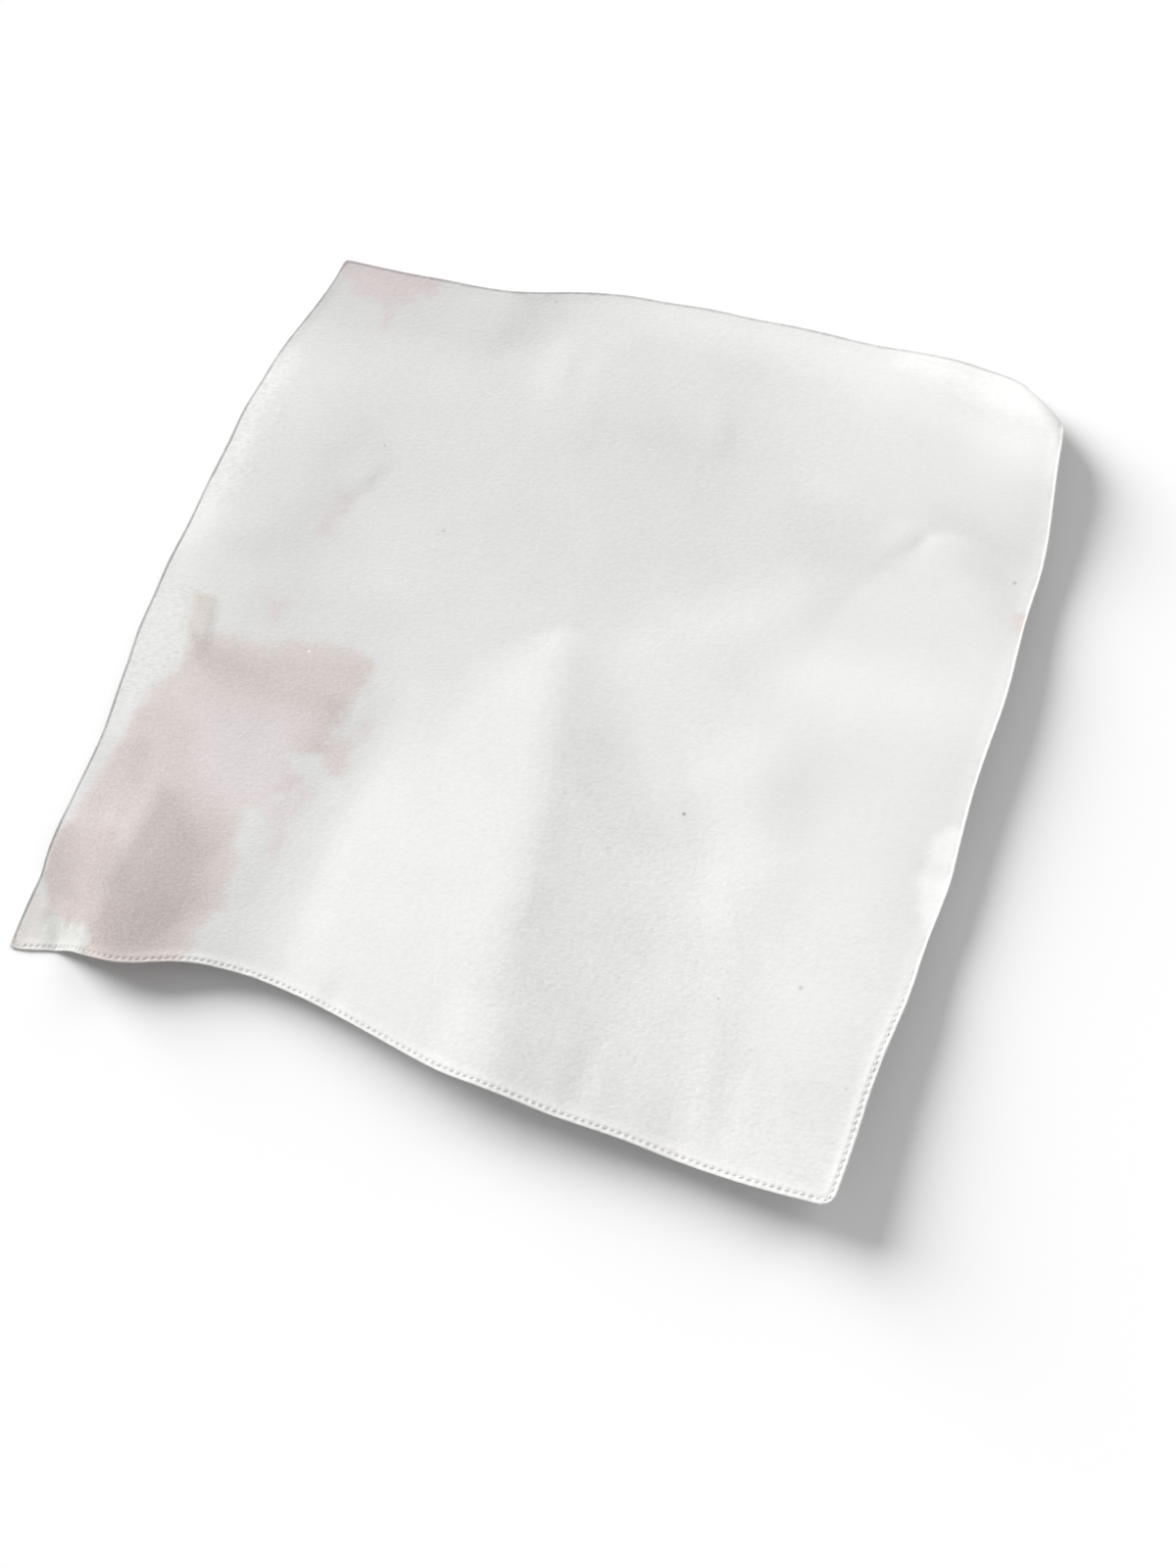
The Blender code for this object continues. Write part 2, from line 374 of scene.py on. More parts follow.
def upper_height(u, v):
    """Height of the upper side over the underside, with the hem's puckers and needle holes."""
    distance = edge_distance(u, v)
    on_top = turn_on_top(u, v)
    height = hem_height(u, v, UPPER_ON_TOP, UPPER_BENEATH)
    plump = smooth(1.0 - np.abs(distance - BEAD_INSET) / BEAD_REACH)
    height = height * (1.0 + plump * unevenness(u, v, BEAD_UNEVEN))
    stitch = (along_edge(u, v) + HALF - STITCH_INSET) / STITCH_PITCH
    from_hole = (stitch - np.round(stitch)) * STITCH_PITCH
    pit = np.exp(-(from_hole**2 + (distance - STITCH_INSET)**2) / (2.0 * HOLE_RADIUS**2))
    deep = HOLE_DEPTH * (1.0 + unevenness(u, v, HOLES_UNEVEN)) * on_top
    near_line = smooth(1.0 - np.abs(distance - STITCH_INSET) / PUCKER_REACH)
    pull = PUCKER * np.cos(2.0 * math.pi * stitch) * near_line * on_top
    return height - deep * pit - pull


# ---------------------------------------------------------------- the cloth's mesh
def fine_lines():
    """Mesh lines from side to side: hem rows, even lines, hem rows."""
    inset = np.array([row[0] for row in HEM_PROFILE]) * MM
    even = np.linspace(-HALF + HEM_ZONE, HALF - HEM_ZONE, CELLS * SPLIT + 1)
    return np.concatenate([-HALF + inset, even[1:-1], HALF - inset[::-1]])


def on_lines(i, j, lines):
    """Whether the point (i, j) lies on one of those lines, in either direction."""
    return i in lines or j in lines


def cell_rings(lines, full):
    """Faces of the coarse cells between `lines`, with every fine point of the lines in `full`."""
    rings = []
    for row in range(len(lines) - 1):
        for column in range(len(lines) - 1):
            i0, i1, j0, j1 = lines[column], lines[column + 1], lines[row], lines[row + 1]
            ring = [(i, j0) for i in range(i0, i1) if on_lines(i, j0, full) or i == i0]
            ring += [(i1, j) for j in range(j0, j1) if on_lines(i1, j, full) or j == j0]
            ring += [(i, j1) for i in range(i1, i0, -1) if on_lines(i, j1, full) or i == i1]
            ring += [(i0, j) for j in range(j1, j0, -1) if on_lines(i0, j, full) or j == j1]
            rings.append(ring)
    return rings


def cloth_faces(count):
    """Two lists of faces of (i, j) points on the fine lines: the upper side and the underside."""
    zone = len(HEM_PROFILE) - 1
    last = count - 1
    even = list(range(zone, last - zone + 1, SPLIT))
    upper = cell_rings(even, (zone, last - zone))
    for j in range(last):
        for i in range(last):
            if min(i, j) < zone or max(i, j) >= last - zone:
                upper.append([(i, j), (i + 1, j), (i + 1, j + 1), (i, j + 1)])
    sides = list(UNDERSIDE_LINES[:-1]) + even + [last - k for k in UNDERSIDE_LINES[-2::-1]]
    return upper, cell_rings(sides, (0, last))


def shaded_mesh(name, points, faces):
    """Smooth-shaded mesh of those points and faces."""
    mesh = bpy.data.meshes.new(name)
    mesh.from_pydata(points, [], faces)
    mesh.update()
    mesh.shade_smooth()
    return mesh


def cloth_mesh(shift):
    """Closed mesh of the cloth with its hem, with flat-cloth UVs and the marks' colours."""
    lines = fine_lines()
    last = len(lines) - 1
    layers = cloth_faces(len(lines))
    index, flat, rings = {}, [], []
    for layer, faces in enumerate(layers):
        for face in faces:
            ring = []
            for i, j in face:
                key = (0 if on_lines(i, j, (0, last)) else layer, i, j)
                if key not in index:
                    index[key] = len(index)
                    flat.append((lines[i], lines[j], key[0]))
                ring.append(index[key])
            rings.append(ring[::-1] if layer else ring)
    u, v, beneath = np.array(flat).T
    low = hem_height(u, v, UNDER_ON_TOP, UNDER_BENEATH)
    height = np.where(beneath == 0, upper_height(u, v), low)
    points = underside(u, v) + normals(u, v) * height[:, None] + shift
    points[:, 2] = np.maximum(points[:, 2], 0.0)
    mesh = shaded_mesh("bandana_sheet", points.tolist(), rings)
    add_flat_map(mesh, u, v)
    add_marks(mesh, u, v)
    add_grain(mesh, u, v)
    return mesh


def add_flat_map(mesh, u, v):
    """UV map with the flat cloth's own coordinates in metres, so that threads follow it."""
    layer = mesh.uv_layers.new(name="flat")
    corner = np.zeros(len(mesh.loops), int)
    mesh.loops.foreach_get("vertex_index", corner)
    layer.uv.foreach_set("vector", np.stack([u[corner], v[corner]], axis=1).ravel())


# ---------------------------------------------------------------- marks on the cloth: stains, painted light and painted shade
# Tints: what the cotton's colour is multiplied by inside a mark
STAIN = (0.940, 0.868, 0.854)
# denser and darkest stain, in part painted shade of the folds in and beside the stain
DENSER_STAIN_AND_SHADE = (0.900, 0.888, 0.885)
DENSE_STAIN_AND_SHADE = (0.955, 0.950, 0.945)
DARKEST_STAIN_AND_SHADE = (0.930, 0.925, 0.925)
WORN = (1.030, 1.030, 1.065)
PINK = (0.975, 0.925, 0.928)
ROSE = (0.985, 0.900, 0.912)
RUST = (0.955, 0.885, 0.860)
# painted shade, deeper and lighter, standing in for the folds' shading
PAINTED_DEEPER_SHADE = (0.950, 0.951, 0.953)
PAINTED_SHADE = (0.970, 0.970, 0.971)
# painted light, a painted highlight and a painted glare
PAINTED_LIGHT = (1.045, 1.045, 1.043)
PAINTED_HIGHLIGHT = (1.110, 1.110, 1.108)
PAINTED_GLARE = (1.150, 1.150, 1.155)
# painted shade on the steep fold beside the left tip
PAINTED_TIP_SHADE = (0.790, 0.803, 0.785)
CREAM = (0.945, 0.915, 0.900)
FADED = (1.005, 1.030, 1.020)
BROWN = (0.925, 0.912, 0.890)

# Marks: tint, width of the soft edge, then the outline's corners
MARKS = (
    # painted shade and painted light: soft changes of tone that stand in for the folds' shading,
    # and painted highlights and a painted glare near the edges
    (PAINTED_SHADE,   60, ((-200, 190), (60, 180), (110, 110), (60, 70), (-60, 40), (-190, 110))),
    (PAINTED_DEEPER_SHADE,    50, ((-165, 10), (-95, 10), (-96, -60), (-112, -140), (-130, -110), (-150, -40))),
    (PAINTED_LIGHT,    26, ((-80, -40), (-60, -40), (-66, -120), (-66, -275), (-90, -275), (-88, -120))),
    (PAINTED_DEEPER_SHADE,    26, ((-140, -60), (-90, -60), (-98, -130), (-100, -275), (-140, -275))),
    (PAINTED_DEEPER_SHADE,    50, ((110, 140), (200, 120), (246, 90), (230, 50), (130, 60))),
    (PAINTED_SHADE,   40, ((110, 20), (170, 20), (190, -70), (190, -200), (140, -200), (150, -60))),
    (PAINTED_SHADE,   30, ((-250, -30), (-232, -60), (-246, -100), (-262, -90))),
    (PAINTED_SHADE,   50, ((146, -96), (176, -96), (190, -130), (180, -190), (144, -190))),
    (PAINTED_SHADE,   16, ((-14, 2), (8, 20), (8, -10), (-6, -16))),
    (PAINTED_SHADE,   30, ((110, 140), (150, 150), (250, 150), (250, 110), (110, 100))),
    (PAINTED_SHADE,   24, ((-96, -120), (-64, -120), (-64, -200), (-96, -200))),
    (PAINTED_SHADE,   24, ((-264, -130), (-226, -130), (-226, -190), (-264, -190))),
    (PAINTED_LIGHT,    20, ((28, -216), (62, -216), (66, -275), (26, -275))),
    (PAINTED_LIGHT,    50, ((50, 20), (84, 24), (150, -60), (170, -100), (110, -90))),
    # painted highlights along the left side, the top and the right side, and a painted glare on
    # the right side
    (PAINTED_HIGHLIGHT,   26, ((-275, 190), (-256, 190), (-250, 130), (-250, 60), (-258, 20), (-275, 20))),
    (PAINTED_LIGHT,    20, ((-275, 60), (-240, 60), (-238, 0), (-250, -4), (-232, -60), (-248, -92),
                   (-275, -120))),
    (PAINTED_HIGHLIGHT,   22, ((150, 275), (150, 256), (190, 244), (240, 236), (262, 226), (275, 275))),
    (PAINTED_LIGHT,    30, ((-30, 275), (150, 275), (200, 232), (266, 216), (266, 190), (180, 216),
                   (60, 236), (-30, 246))),
    (PAINTED_LIGHT,    24, ((-170, 275), (-30, 275), (-30, 258), (-160, 256))),
    (PAINTED_GLARE,    7, ((249, -76), (250, -52), (258, -44), (275, -44), (275, -110), (262, -108),
                   (255, -96))),
    (PAINTED_LIGHT,    12, ((262, 230), (275, 230), (275, 130), (262, 130))),
    # painted shade beside the small folds, creases and hem dips
    (PAINTED_DEEPER_SHADE,    26, ((196, 158), (226, 166), (250, 140), (264, 100), (270, 60), (254, 70),
                   (240, 108), (214, 136), (198, 140))),
    (PAINTED_DEEPER_SHADE,    12, ((186, 140), (192, 134), (180, 110), (170, 100), (174, 120))),
    (PAINTED_SHADE,   40, ((130, 110), (176, 100), (166, 60), (140, 70))),
    (PAINTED_DEEPER_SHADE,    26, ((-236, 34), (-212, 52), (-178, 100), (-166, 96), (-176, 64), (-206, 20))),
    (PAINTED_SHADE,   16, ((46, -140), (62, -140), (60, -230), (46, -226))),
    (PAINTED_SHADE,   30, ((98, -200), (124, -206), (128, -250), (104, -262))),
    (PAINTED_SHADE,   26, ((176, -190), (200, -196), (214, -240), (190, -240))),
    # the stain; its darker patches are stain and, in part, painted shade of the folds in and
    # beside it
    (STAIN,   10, ((-238, -10), (-223, -7), (-216, -31), (-196, -30), (-176, -31), (-160, -24),
                   (-126, -25), (-107, -30), (-103, -40), (-106, -50), (-113, -72), (-121, -103),
                   (-140, -108), (-128, -124), (-138, -146), (-150, -153), (-145, -177),
                   (-137, -190), (-137, -204), (-132, -226), (-139, -242), (-141, -275),
                   (-200, -275), (-204, -250), (-228, -247), (-250, -237), (-264, -214),
                   (-263, -190), (-254, -160), (-253, -130), (-247, -98),
                   (-241, -78), (-228, -66), (-226, -52))),
    (STAIN,   10, ((-116, -86), (-102, -90), (-101, -108), (-106, -119), (-114, -112),
                   (-120, -100))),
    (DENSE_STAIN_AND_SHADE,   14, ((-226, -38), (-180, -42), (-150, -36), (-110, -36), (-104, -52), (-118, -78),
                   (-150, -72), (-205, -66), (-224, -60))),
    (DENSE_STAIN_AND_SHADE,   10, ((-220, -42), (-196, -44), (-170, -52), (-176, -60), (-214, -58))),
    (DENSE_STAIN_AND_SHADE,   12, ((-130, -60), (-108, -56), (-118, -100), (-128, -104))),
    (DENSER_STAIN_AND_SHADE,  26, ((-246, -98), (-228, -92), (-206, -104), (-196, -128), (-176, -150),
                   (-154, -164), (-147, -190), (-141, -226), (-150, -262), (-206, -262),
                   (-262, -216), (-256, -170), (-251, -130))),
    (DARKEST_STAIN_AND_SHADE, 20, ((-262, -120), (-226, -120), (-216, -180), (-204, -244), (-228, -246),
                   (-250, -236), (-264, -212))),
    (DENSER_STAIN_AND_SHADE,  18, ((-264, -186), (-220, -186), (-196, -210), (-186, -262), (-204, -262),
                   (-206, -250), (-228, -246), (-250, -236), (-264, -214))),
    (DENSER_STAIN_AND_SHADE,  16, ((-209, -146), (-196, -146), (-176, -164), (-158, -182), (-150, -220),
                   (-158, -262), (-212, -275), (-204, -236))),
    (DENSE_STAIN_AND_SHADE,   16, ((-202, -232), (-174, -222), (-146, -224), (-158, -240), (-176, -250),
                   (-182, -275), (-214, -275))),
    (DENSE_STAIN_AND_SHADE,    8, ((-240, -116), (-226, -120), (-216, -160), (-222, -190), (-232, -160))),
    # painted shade along the crease by the left tip, with the stain
    (DENSER_STAIN_AND_SHADE,   8, ((-266, -208), (-249, -227), (-228, -239), (-204, -244), (-204, -250),
                   (-228, -246), (-250, -235), (-266, -216))),
    (WORN,    18, ((-206, -84), (-150, -80), (-136, -106), (-126, -136), (-148, -150),
                   (-176, -144), (-196, -120))),
    # painted shade on the steep fold beside the left tip
    (PAINTED_TIP_SHADE,    10, ((-248, -240), (-234, -245), (-226, -248), (-206, -250), (-198, -275),
                   (-244, -275))),
    (CREAM,    8, ((-275, -222), (-264, -222), (-250, -240), (-243, -275), (-275, -275))),
    # the spike: stain, with painted shade along its crease
    (DARKEST_STAIN_AND_SHADE,  8, ((-228, -8), (-223, -8), (-215, -40), (-216, -54), (-222, -52), (-222, -30))),
    (FADED,    8, ((-242, -6), (-220, -4), (-214, -40), (-230, -44))),
    (BROWN,    6, ((-238, -8), (-230, -8), (-222, -44), (-229, -50))),
    # faint coloured drips and spots
    (PINK,    10, ((-127, -122), (-111, -134), (-118, -150), (-114, -170), (-117, -186),
                   (-123, -184), (-130, -160), (-140, -147))),
    (PINK,    10, ((-100, -71), (-91, -76), (-95, -88), (-102, -84))),
    (PINK,    10, ((-199, 4), (-170, 1), (-175, -5), (-178, -22), (-184, -14), (-190, -4))),
    (ROSE,     8, ((-266, 262), (-250, 245), (-236, 240), (-222, 241), (-214, 234), (-207, 221),
                   (-201, 222), (-209, 240), (-196, 242), (-198, 250), (-182, 250), (-188, 275),
                   (-240, 275))),
    (PINK,    10, ((-176, 88), (-166, 88), (-165, 78), (-173, 76))),
    (PINK,     9, ((-178, 74), (-168, 74), (-168, 58), (-176, 54), (-181, 64))),
    (RUST,     5, ((255, 102), (266, 98), (266, 84), (258, 86))),
    (ROSE,     3, ((173, -259), (177, -259), (177, -263), (173, -263))),
)

# Where the weft shows as streaks: strength, width of the soft edge, outline
STREAKS = (
    (1.0, 24, ((-275, 196), (-250, 190), (-236, 140), (-236, 80), (-262, 50), (-275, 50))),
    (1.0, 16, ((-275, 0), (-236, -4), (-226, -50), (-246, -96), (-275, -120))),
    (0.9, 20, ((150, 275), (160, 240), (230, 216), (275, 220), (275, 275))),
)

# Where the cotton's grain is finer or coarser than its usual 1: factor, soft edge, outline
GRAIN = (
    (0.55, 60, ((140, 275), (150, 120), (120, 40), (150, -60), (190, -100), (275, -110),
                (275, 275))),
    (1.50, 60, ((30, -60), (150, -90), (200, -200), (275, -230), (275, -275), (20, -275))),
    (1.25, 20, ((-230, -20), (-110, -30), (-100, -110), (-96, -275), (-240, -275),
                (-256, -150))),
)

# An outline wobbles by the width of its soft edge over WOBBLE_DIVISOR, up to WOBBLE_LIMIT mm
WOBBLE_DIVISOR = 7.0
WOBBLE_LIMIT = 1.5

# Tone of the hem: a grey stitch line, a painted highlight on the rim low on the right, painted
# shade on the rim elsewhere. Each rim ends at a distance from the edge, over its fade.
LINE_GREY = 0.05
LINE_REACH = 0.0013
LINE_EVEN = 0.6            # share of the line's grey that is even
PAINTED_RIM_HIGHLIGHT = 0.28
PAINTED_RIM_HIGHLIGHT_TURNED = 0.22     # less where the turn lies on top
PAINTED_RIM_HIGHLIGHT_END, PAINTED_RIM_HIGHLIGHT_FADE = 0.0020, 0.0012
PAINTED_RIM_SHADE_LEFT, PAINTED_RIM_SHADE_TOP = 0.36, 0.40
PAINTED_RIM_SHADE_END, PAINTED_RIM_SHADE_FADE = 0.0028, 0.0014
PAINTED_RIM_SHADE_WEAKER = 0.5      # share less above v = WEAKER_FROM, so all along the top
WEAKER_FROM, WEAKER_FADE = 0.150, 0.060


def polygon_distance(u, v, corners):
    """Distance in millimetres from the outline, negative inside."""
    nearest = np.full(u.shape, 1e9)
    inside = np.zeros(u.shape, bool)
    for (x0, y0), (x1, y1) in zip(corners, corners[1:] + corners[:1]):
        run_x, run_y = x1 - x0, y1 - y0
        share = ((u - x0) * run_x + (v - y0) * run_y) / (run_x**2 + run_y**2)
        share = np.clip(share, 0.0, 1.0)
        nearest = np.minimum(nearest, np.hypot(u - x0 - share * run_x, v - y0 - share * run_y))
        if y0 != y1:
            crosses = (v < y0) != (v < y1)
            inside ^= crosses & (u < x0 + (v - y0) * run_x / run_y)
    return np.where(inside, -nearest, nearest)


def soft_inside(u, v, edge, corners):
    """1 inside an outline, 0 outside it, with an uneven soft edge `edge` millimetres wide."""
    uneven = min(edge / WOBBLE_DIVISOR, WOBBLE_LIMIT) * unevenness(u, v, OUTLINE_UNEVEN)
    return smooth((uneven - polygon_distance(u / MM, v / MM, corners)) / edge + 0.5)


def add_marks(mesh, u, v):
    """Colour attribute: the marks' tints (stains, painted light and painted shade), the hem's
    tone with its painted rims, and in its alpha how much the weft shows.
    """
    colour = np.ones((len(u), 4))
    for tint, edge, corners in MARKS:
        share = soft_inside(u, v, edge, corners)
        colour[:, :3] *= 1.0 + (np.array(tint) - 1.0) * share[:, None]
    # the hem's painted highlight and painted shade on its rims
    colour[:, :3] *= hem_tone(u, v)[:, None]
    colour[:, 3] = 0.0
    for strength, edge, corners in STREAKS:
        colour[:, 3] = np.maximum(colour[:, 3], strength * soft_inside(u, v, edge, corners))
    layer = mesh.attributes.new("marks", "FLOAT_COLOR", "POINT")
    layer.data.foreach_set("color", colour.ravel())


def add_grain(mesh, u, v):
    """Attribute: how coarse the cotton's grain is."""
    grain = np.ones(len(u))
    for strength, edge, corners in GRAIN:
        grain *= 1.0 + (strength - 1.0) * soft_inside(u, v, edge, corners)
    layer = mesh.attributes.new("grain", "FLOAT", "POINT")
    layer.data.foreach_set("value", grain)


def hem_tone(u, v):
    """Darker along the stitch line; on the rim, a painted highlight low on the right, painted
    shade elsewhere.
    """
    distance = edge_distance(u, v)
    turned = turn_on_top(u, v)
    line = smooth(1.0 - np.abs(distance - STITCH_INSET) / LINE_REACH)
    line = line * (LINE_EVEN + unevenness(u, v, LINE_UNEVEN)) * turned
    # painted highlight on the rim of the right and bottom sides
    pale = lower_right(u, v)
    painted_rim_highlight = PAINTED_RIM_HIGHLIGHT - PAINTED_RIM_HIGHLIGHT_TURNED * turned
    painted_rim_highlight = painted_rim_highlight * smooth((PAINTED_RIM_HIGHLIGHT_END - distance) / PAINTED_RIM_HIGHLIGHT_FADE) * pale
    # painted shade on the rim of the left and top sides
    fade = 1.0 - PAINTED_RIM_SHADE_WEAKER * smooth((v - WEAKER_FROM) / WEAKER_FADE)
    grey = np.where(np.abs(u) > np.abs(v), PAINTED_RIM_SHADE_LEFT, PAINTED_RIM_SHADE_TOP) * fade
    grey = grey * (1.0 + unevenness(u, v, RIM_UNEVEN))
    painted_rim_shade = grey * smooth((PAINTED_RIM_SHADE_END - distance) / PAINTED_RIM_SHADE_FADE) * (1.0 - pale)
    return 1.0 - LINE_GREY * line + painted_rim_highlight - painted_rim_shade


# ---------------------------------------------------------------- stitching
THREAD_RADIUS = 0.00024
THREAD_LENGTH = 0.70       # share of the pitch that shows between two needle holes
THREAD_TAPER = (0.35, 0.9, 1.0, 0.9, 0.35)   # radius of a stitch's rings, from end to end
THREAD_RINGS = len(THREAD_TAPER)
THREAD_SIDES = 6
# In thread diameters: how far a stitch's middle bows up over its ends, how deep its ends lie in
# the hem, and how much deeper they lie as the turn goes beneath
STITCH_ARCH = 0.55
STITCH_DEPTH = 0.30
STITCH_FADE_DEPTH = 0.25


def stitch_paths():
    """Flat (u, v) of the rings of every stitch that shows, where the turn lies on top."""
    start = -HALF + STITCH_INSET + STITCH_PITCH * (np.arange(STITCHES) + 0.5)
    reach = STITCH_PITCH * THREAD_LENGTH / 2.0 * np.linspace(-1.0, 1.0, THREAD_RINGS)
    along = start[:, None] + reach[None, :]
    line = np.full_like(along, HALF - STITCH_INSET)
    sides = ((along, -line), (along, line), (-line, along), (line, along))
    u, v = np.concatenate([u for u, _ in sides]), np.concatenate([v for _, v in sides])
    shown = turn_on_top(u, v).min(axis=1) > 0.0
    return u[shown], v[shown]


def stitch_mesh(shift):
    """All the stitches as one joined mesh of short, bowed, round-ended thread bars."""
    u, v = stitch_paths()
    arch = np.sin(np.linspace(0.0, math.pi, THREAD_RINGS))
    normal = normals(u, v)
    hidden = STITCH_FADE_DEPTH * (1.0 - turn_on_top(u, v))
    show = arch * STITCH_ARCH - STITCH_DEPTH - hidden + unevenness(u, v, STITCHES_UNEVEN)
    lift = hem_height(u, v, UPPER_ON_TOP, UPPER_BENEATH) + show * 2.0 * THREAD_RADIUS
    centre = underside(u, v) + normal * lift[..., None] + shift
    run = np.gradient(centre, axis=1)
    run /= np.linalg.norm(run, axis=-1, keepdims=True)
    side = np.cross(run, normal)
    radius = THREAD_RADIUS * np.array(THREAD_TAPER)[None, :, None, None]
    angle = np.linspace(0.0, 2.0 * math.pi, THREAD_SIDES, endpoint=False)[None, None, :, None]
    around = np.cos(angle) * side[:, :, None, :] + np.sin(angle) * normal[:, :, None, :]
    points = (centre[:, :, None, :] + radius * around).reshape(-1, 3)
    return shaded_mesh("hem_stitches", points.tolist(), bar_faces(len(u)))


def bar_faces(count):
    """Faces of that many closed bars, whose points come bar by bar and ring by ring."""
    faces = []
    size = THREAD_RINGS * THREAD_SIDES
    for bar in range(count):
        base = bar * size
        for ring in range(THREAD_RINGS - 1):
            for k in range(THREAD_SIDES):
                a = base + ring * THREAD_SIDES + k
                b = base + ring * THREAD_SIDES + (k + 1) % THREAD_SIDES
                faces.append((a, a + THREAD_SIDES, b + THREAD_SIDES, b))
        faces.append(tuple(base + k for k in range(THREAD_SIDES)))
        faces.append(tuple(base + size - 1 - k for k in range(THREAD_SIDES)))
    return faces


# ---------------------------------------------------------------- materials
COTTON = (0.733, 0.729, 0.718)
THREAD_DARK = (0.74, 0.73, 0.70, 1.0)
THREAD_LIGHT = (0.86, 0.85, 0.83, 1.0)
THREAD_FIBRES = 260.0      # scale of the noise that tones the stitches
THREAD_PITCH = 0.00042     # of the weave, from one thread to the next
WEAVE_RELIEF = 0.00005
SLUB_SIZE = (0.0036, 0.0022)
SLUB_RELIEF = 0.00030
RELIEF_STRENGTH = 0.4

# Unevenness of the cotton's brightness: size of its blobs along u and v in metres, detail of the
# noise, and depth. The depth is `even`, and `more` times what `by` names: the marks' green, which
# is 1 on clean cotton and less where it is stained, or how much the weft shows as streaks.
COTTON_UNEVEN = (
    # name           size_u  size_v  detail   even   more  by
    ("grain",        0.0019, 0.0019,    3.0, 0.755, -0.70, "Green"),
    ("flecks",       0.0042, 0.0042,    2.0, 0.075,  0.10, "Alpha"),
    ("clouding",     0.034,  0.034,     3.0, 0.060,  0.0,  None),
    ("warp yarns",   0.0009, 0.012,     2.0, 0.028,  0.0,  None),
    ("weft yarns",   0.012,  0.0009,    2.0, 0.028,  0.0,  None),
    ("weft streaks", 0.006,  0.0010,    2.0, 0.020,  0.24, "Alpha"),
)

# Specks in the cotton, on the flat cloth: place and radius in millimetres, and their tone, which
# is full inside SPECK_CORE of the radius
SPECK_CORE = 0.3
SPECKS = (
    # u     v  radius tone
    (110,  -73,  1.5, 0.50),
    (-98,   72,  1.8, 0.78),
    (76,  -107,  1.4, 0.82),
    (40,   -82,  1.3, 0.85),
    (58,   -92,  1.1, 0.85),
    (118, -146,  1.2, 0.86),
    (209, -155,  1.9, 0.76),
    (79,  -189,  1.2, 0.86),
    (112, -179,  1.1, 0.85),
    (169, -174,  1.1, 0.74),
    (171, -179,  0.9, 0.80),
    (197, -196,  1.0, 0.86),
    (252, -203,  1.2, 0.84),
    (79,  -240,  1.4, 0.86),
    (-160, 130,  1.2, 0.72),
    (-97,  257,  1.6, 0.80),
    (252,  119,  1.7, 0.72),
    (-150, -32,  1.5, 1.38),
)


def add_node(tree, kind, label, **settings):
    """New shader node with its label and settings."""
    node = tree.nodes.new(kind)
    node.label = label
    for key, value in settings.items():
        setattr(node, key, value)
    return node


def feed(tree, socket, value):
    """Set a socket to a number or link it to another socket."""
    if isinstance(value, (int, float)):
        socket.default_value = value
    else:
        tree.links.new(value, socket)


def calculate(tree, operation, *values):
    """Result of a Math node over numbers or other sockets."""
    node = add_node(tree, "ShaderNodeMath", operation.lower(), operation=operation)
    for socket, value in zip(node.inputs, values):
        feed(tree, socket, value)
    return node.outputs[0]


def stretched_noise(tree, flat, label, size_u, size_v, detail):
    """Noise with blobs about size_u by size_v metres of flat cloth, from -0.5 to 0.5."""
    mapping = add_node(tree, "ShaderNodeMapping", label)
    mapping.inputs["Scale"].default_value = (1.0 / size_u, 1.0 / size_v, 1.0)
    noise = add_node(tree, "ShaderNodeTexNoise", label, noise_dimensions="2D")
    noise.inputs["Scale"].default_value = 1.0
    noise.inputs["Detail"].default_value = detail
    tree.links.new(flat, mapping.inputs["Vector"])
    tree.links.new(mapping.outputs["Vector"], noise.inputs["Vector"])
    return calculate(tree, "SUBTRACT", noise.outputs["Fac"], 0.5)


def weave_height(tree, flat):
    """Plain weave: over-and-under threads of both systems, -1 to 1."""
    scaled = add_node(tree, "ShaderNodeVectorMath", "thread count", operation="SCALE")
    scaled.inputs["Scale"].default_value = math.pi / THREAD_PITCH
    tree.links.new(flat, scaled.inputs[0])
    threads = add_node(tree, "ShaderNodeSeparateXYZ", "threads")
    tree.links.new(scaled.outputs[0], threads.inputs[0])
    warp = calculate(tree, "SINE", threads.outputs["X"])
    weft = calculate(tree, "SINE", threads.outputs["Y"])
    return calculate(tree, "MULTIPLY", warp, weft)


def speck_tone(tree, flat):
    """1 over the cloth and each speck's own tone inside it."""
    total = 1.0
    for u, v, radius, tone in SPECKS:
        away = add_node(tree, "ShaderNodeVectorMath", "from speck", operation="DISTANCE")
        away.inputs[1].default_value = (u * MM, v * MM, 0.0)
        tree.links.new(flat, away.inputs[0])
        edge = add_node(tree, "ShaderNodeMapRange", "speck", interpolation_type="SMOOTHSTEP")
        edge.inputs["From Min"].default_value = SPECK_CORE * radius * MM
        edge.inputs["From Max"].default_value = radius * MM
        edge.inputs["To Min"].default_value = tone
        edge.inputs["To Max"].default_value = 1.0
        tree.links.new(away.outputs["Value"], edge.inputs["Value"])
        total = calculate(tree, "MULTIPLY", edge.outputs["Result"], total)
    return total


def cotton_tone(tree, flat, marks, coarse):
    """Brightness of the cotton: its specks and every kind of unevenness, more where coarse."""
    parts = add_node(tree, "ShaderNodeSeparateColor", "marks")
    tree.links.new(marks.outputs["Color"], parts.inputs["Color"])
    sources = {"Green": parts.outputs["Green"], "Alpha": marks.outputs["Alpha"]}
    total = speck_tone(tree, flat)
    for name, size_u, size_v, detail, depth, more, by in COTTON_UNEVEN:
        if by:
            depth = calculate(tree, "MULTIPLY_ADD", sources[by], more, depth)
        noise = stretched_noise(tree, flat, name, size_u, size_v, detail)
        noise = calculate(tree, "MULTIPLY", noise, coarse)
        uneven = calculate(tree, "MULTIPLY_ADD", noise, depth, 1.0)
        total = calculate(tree, "MULTIPLY", total, uneven)
    return total


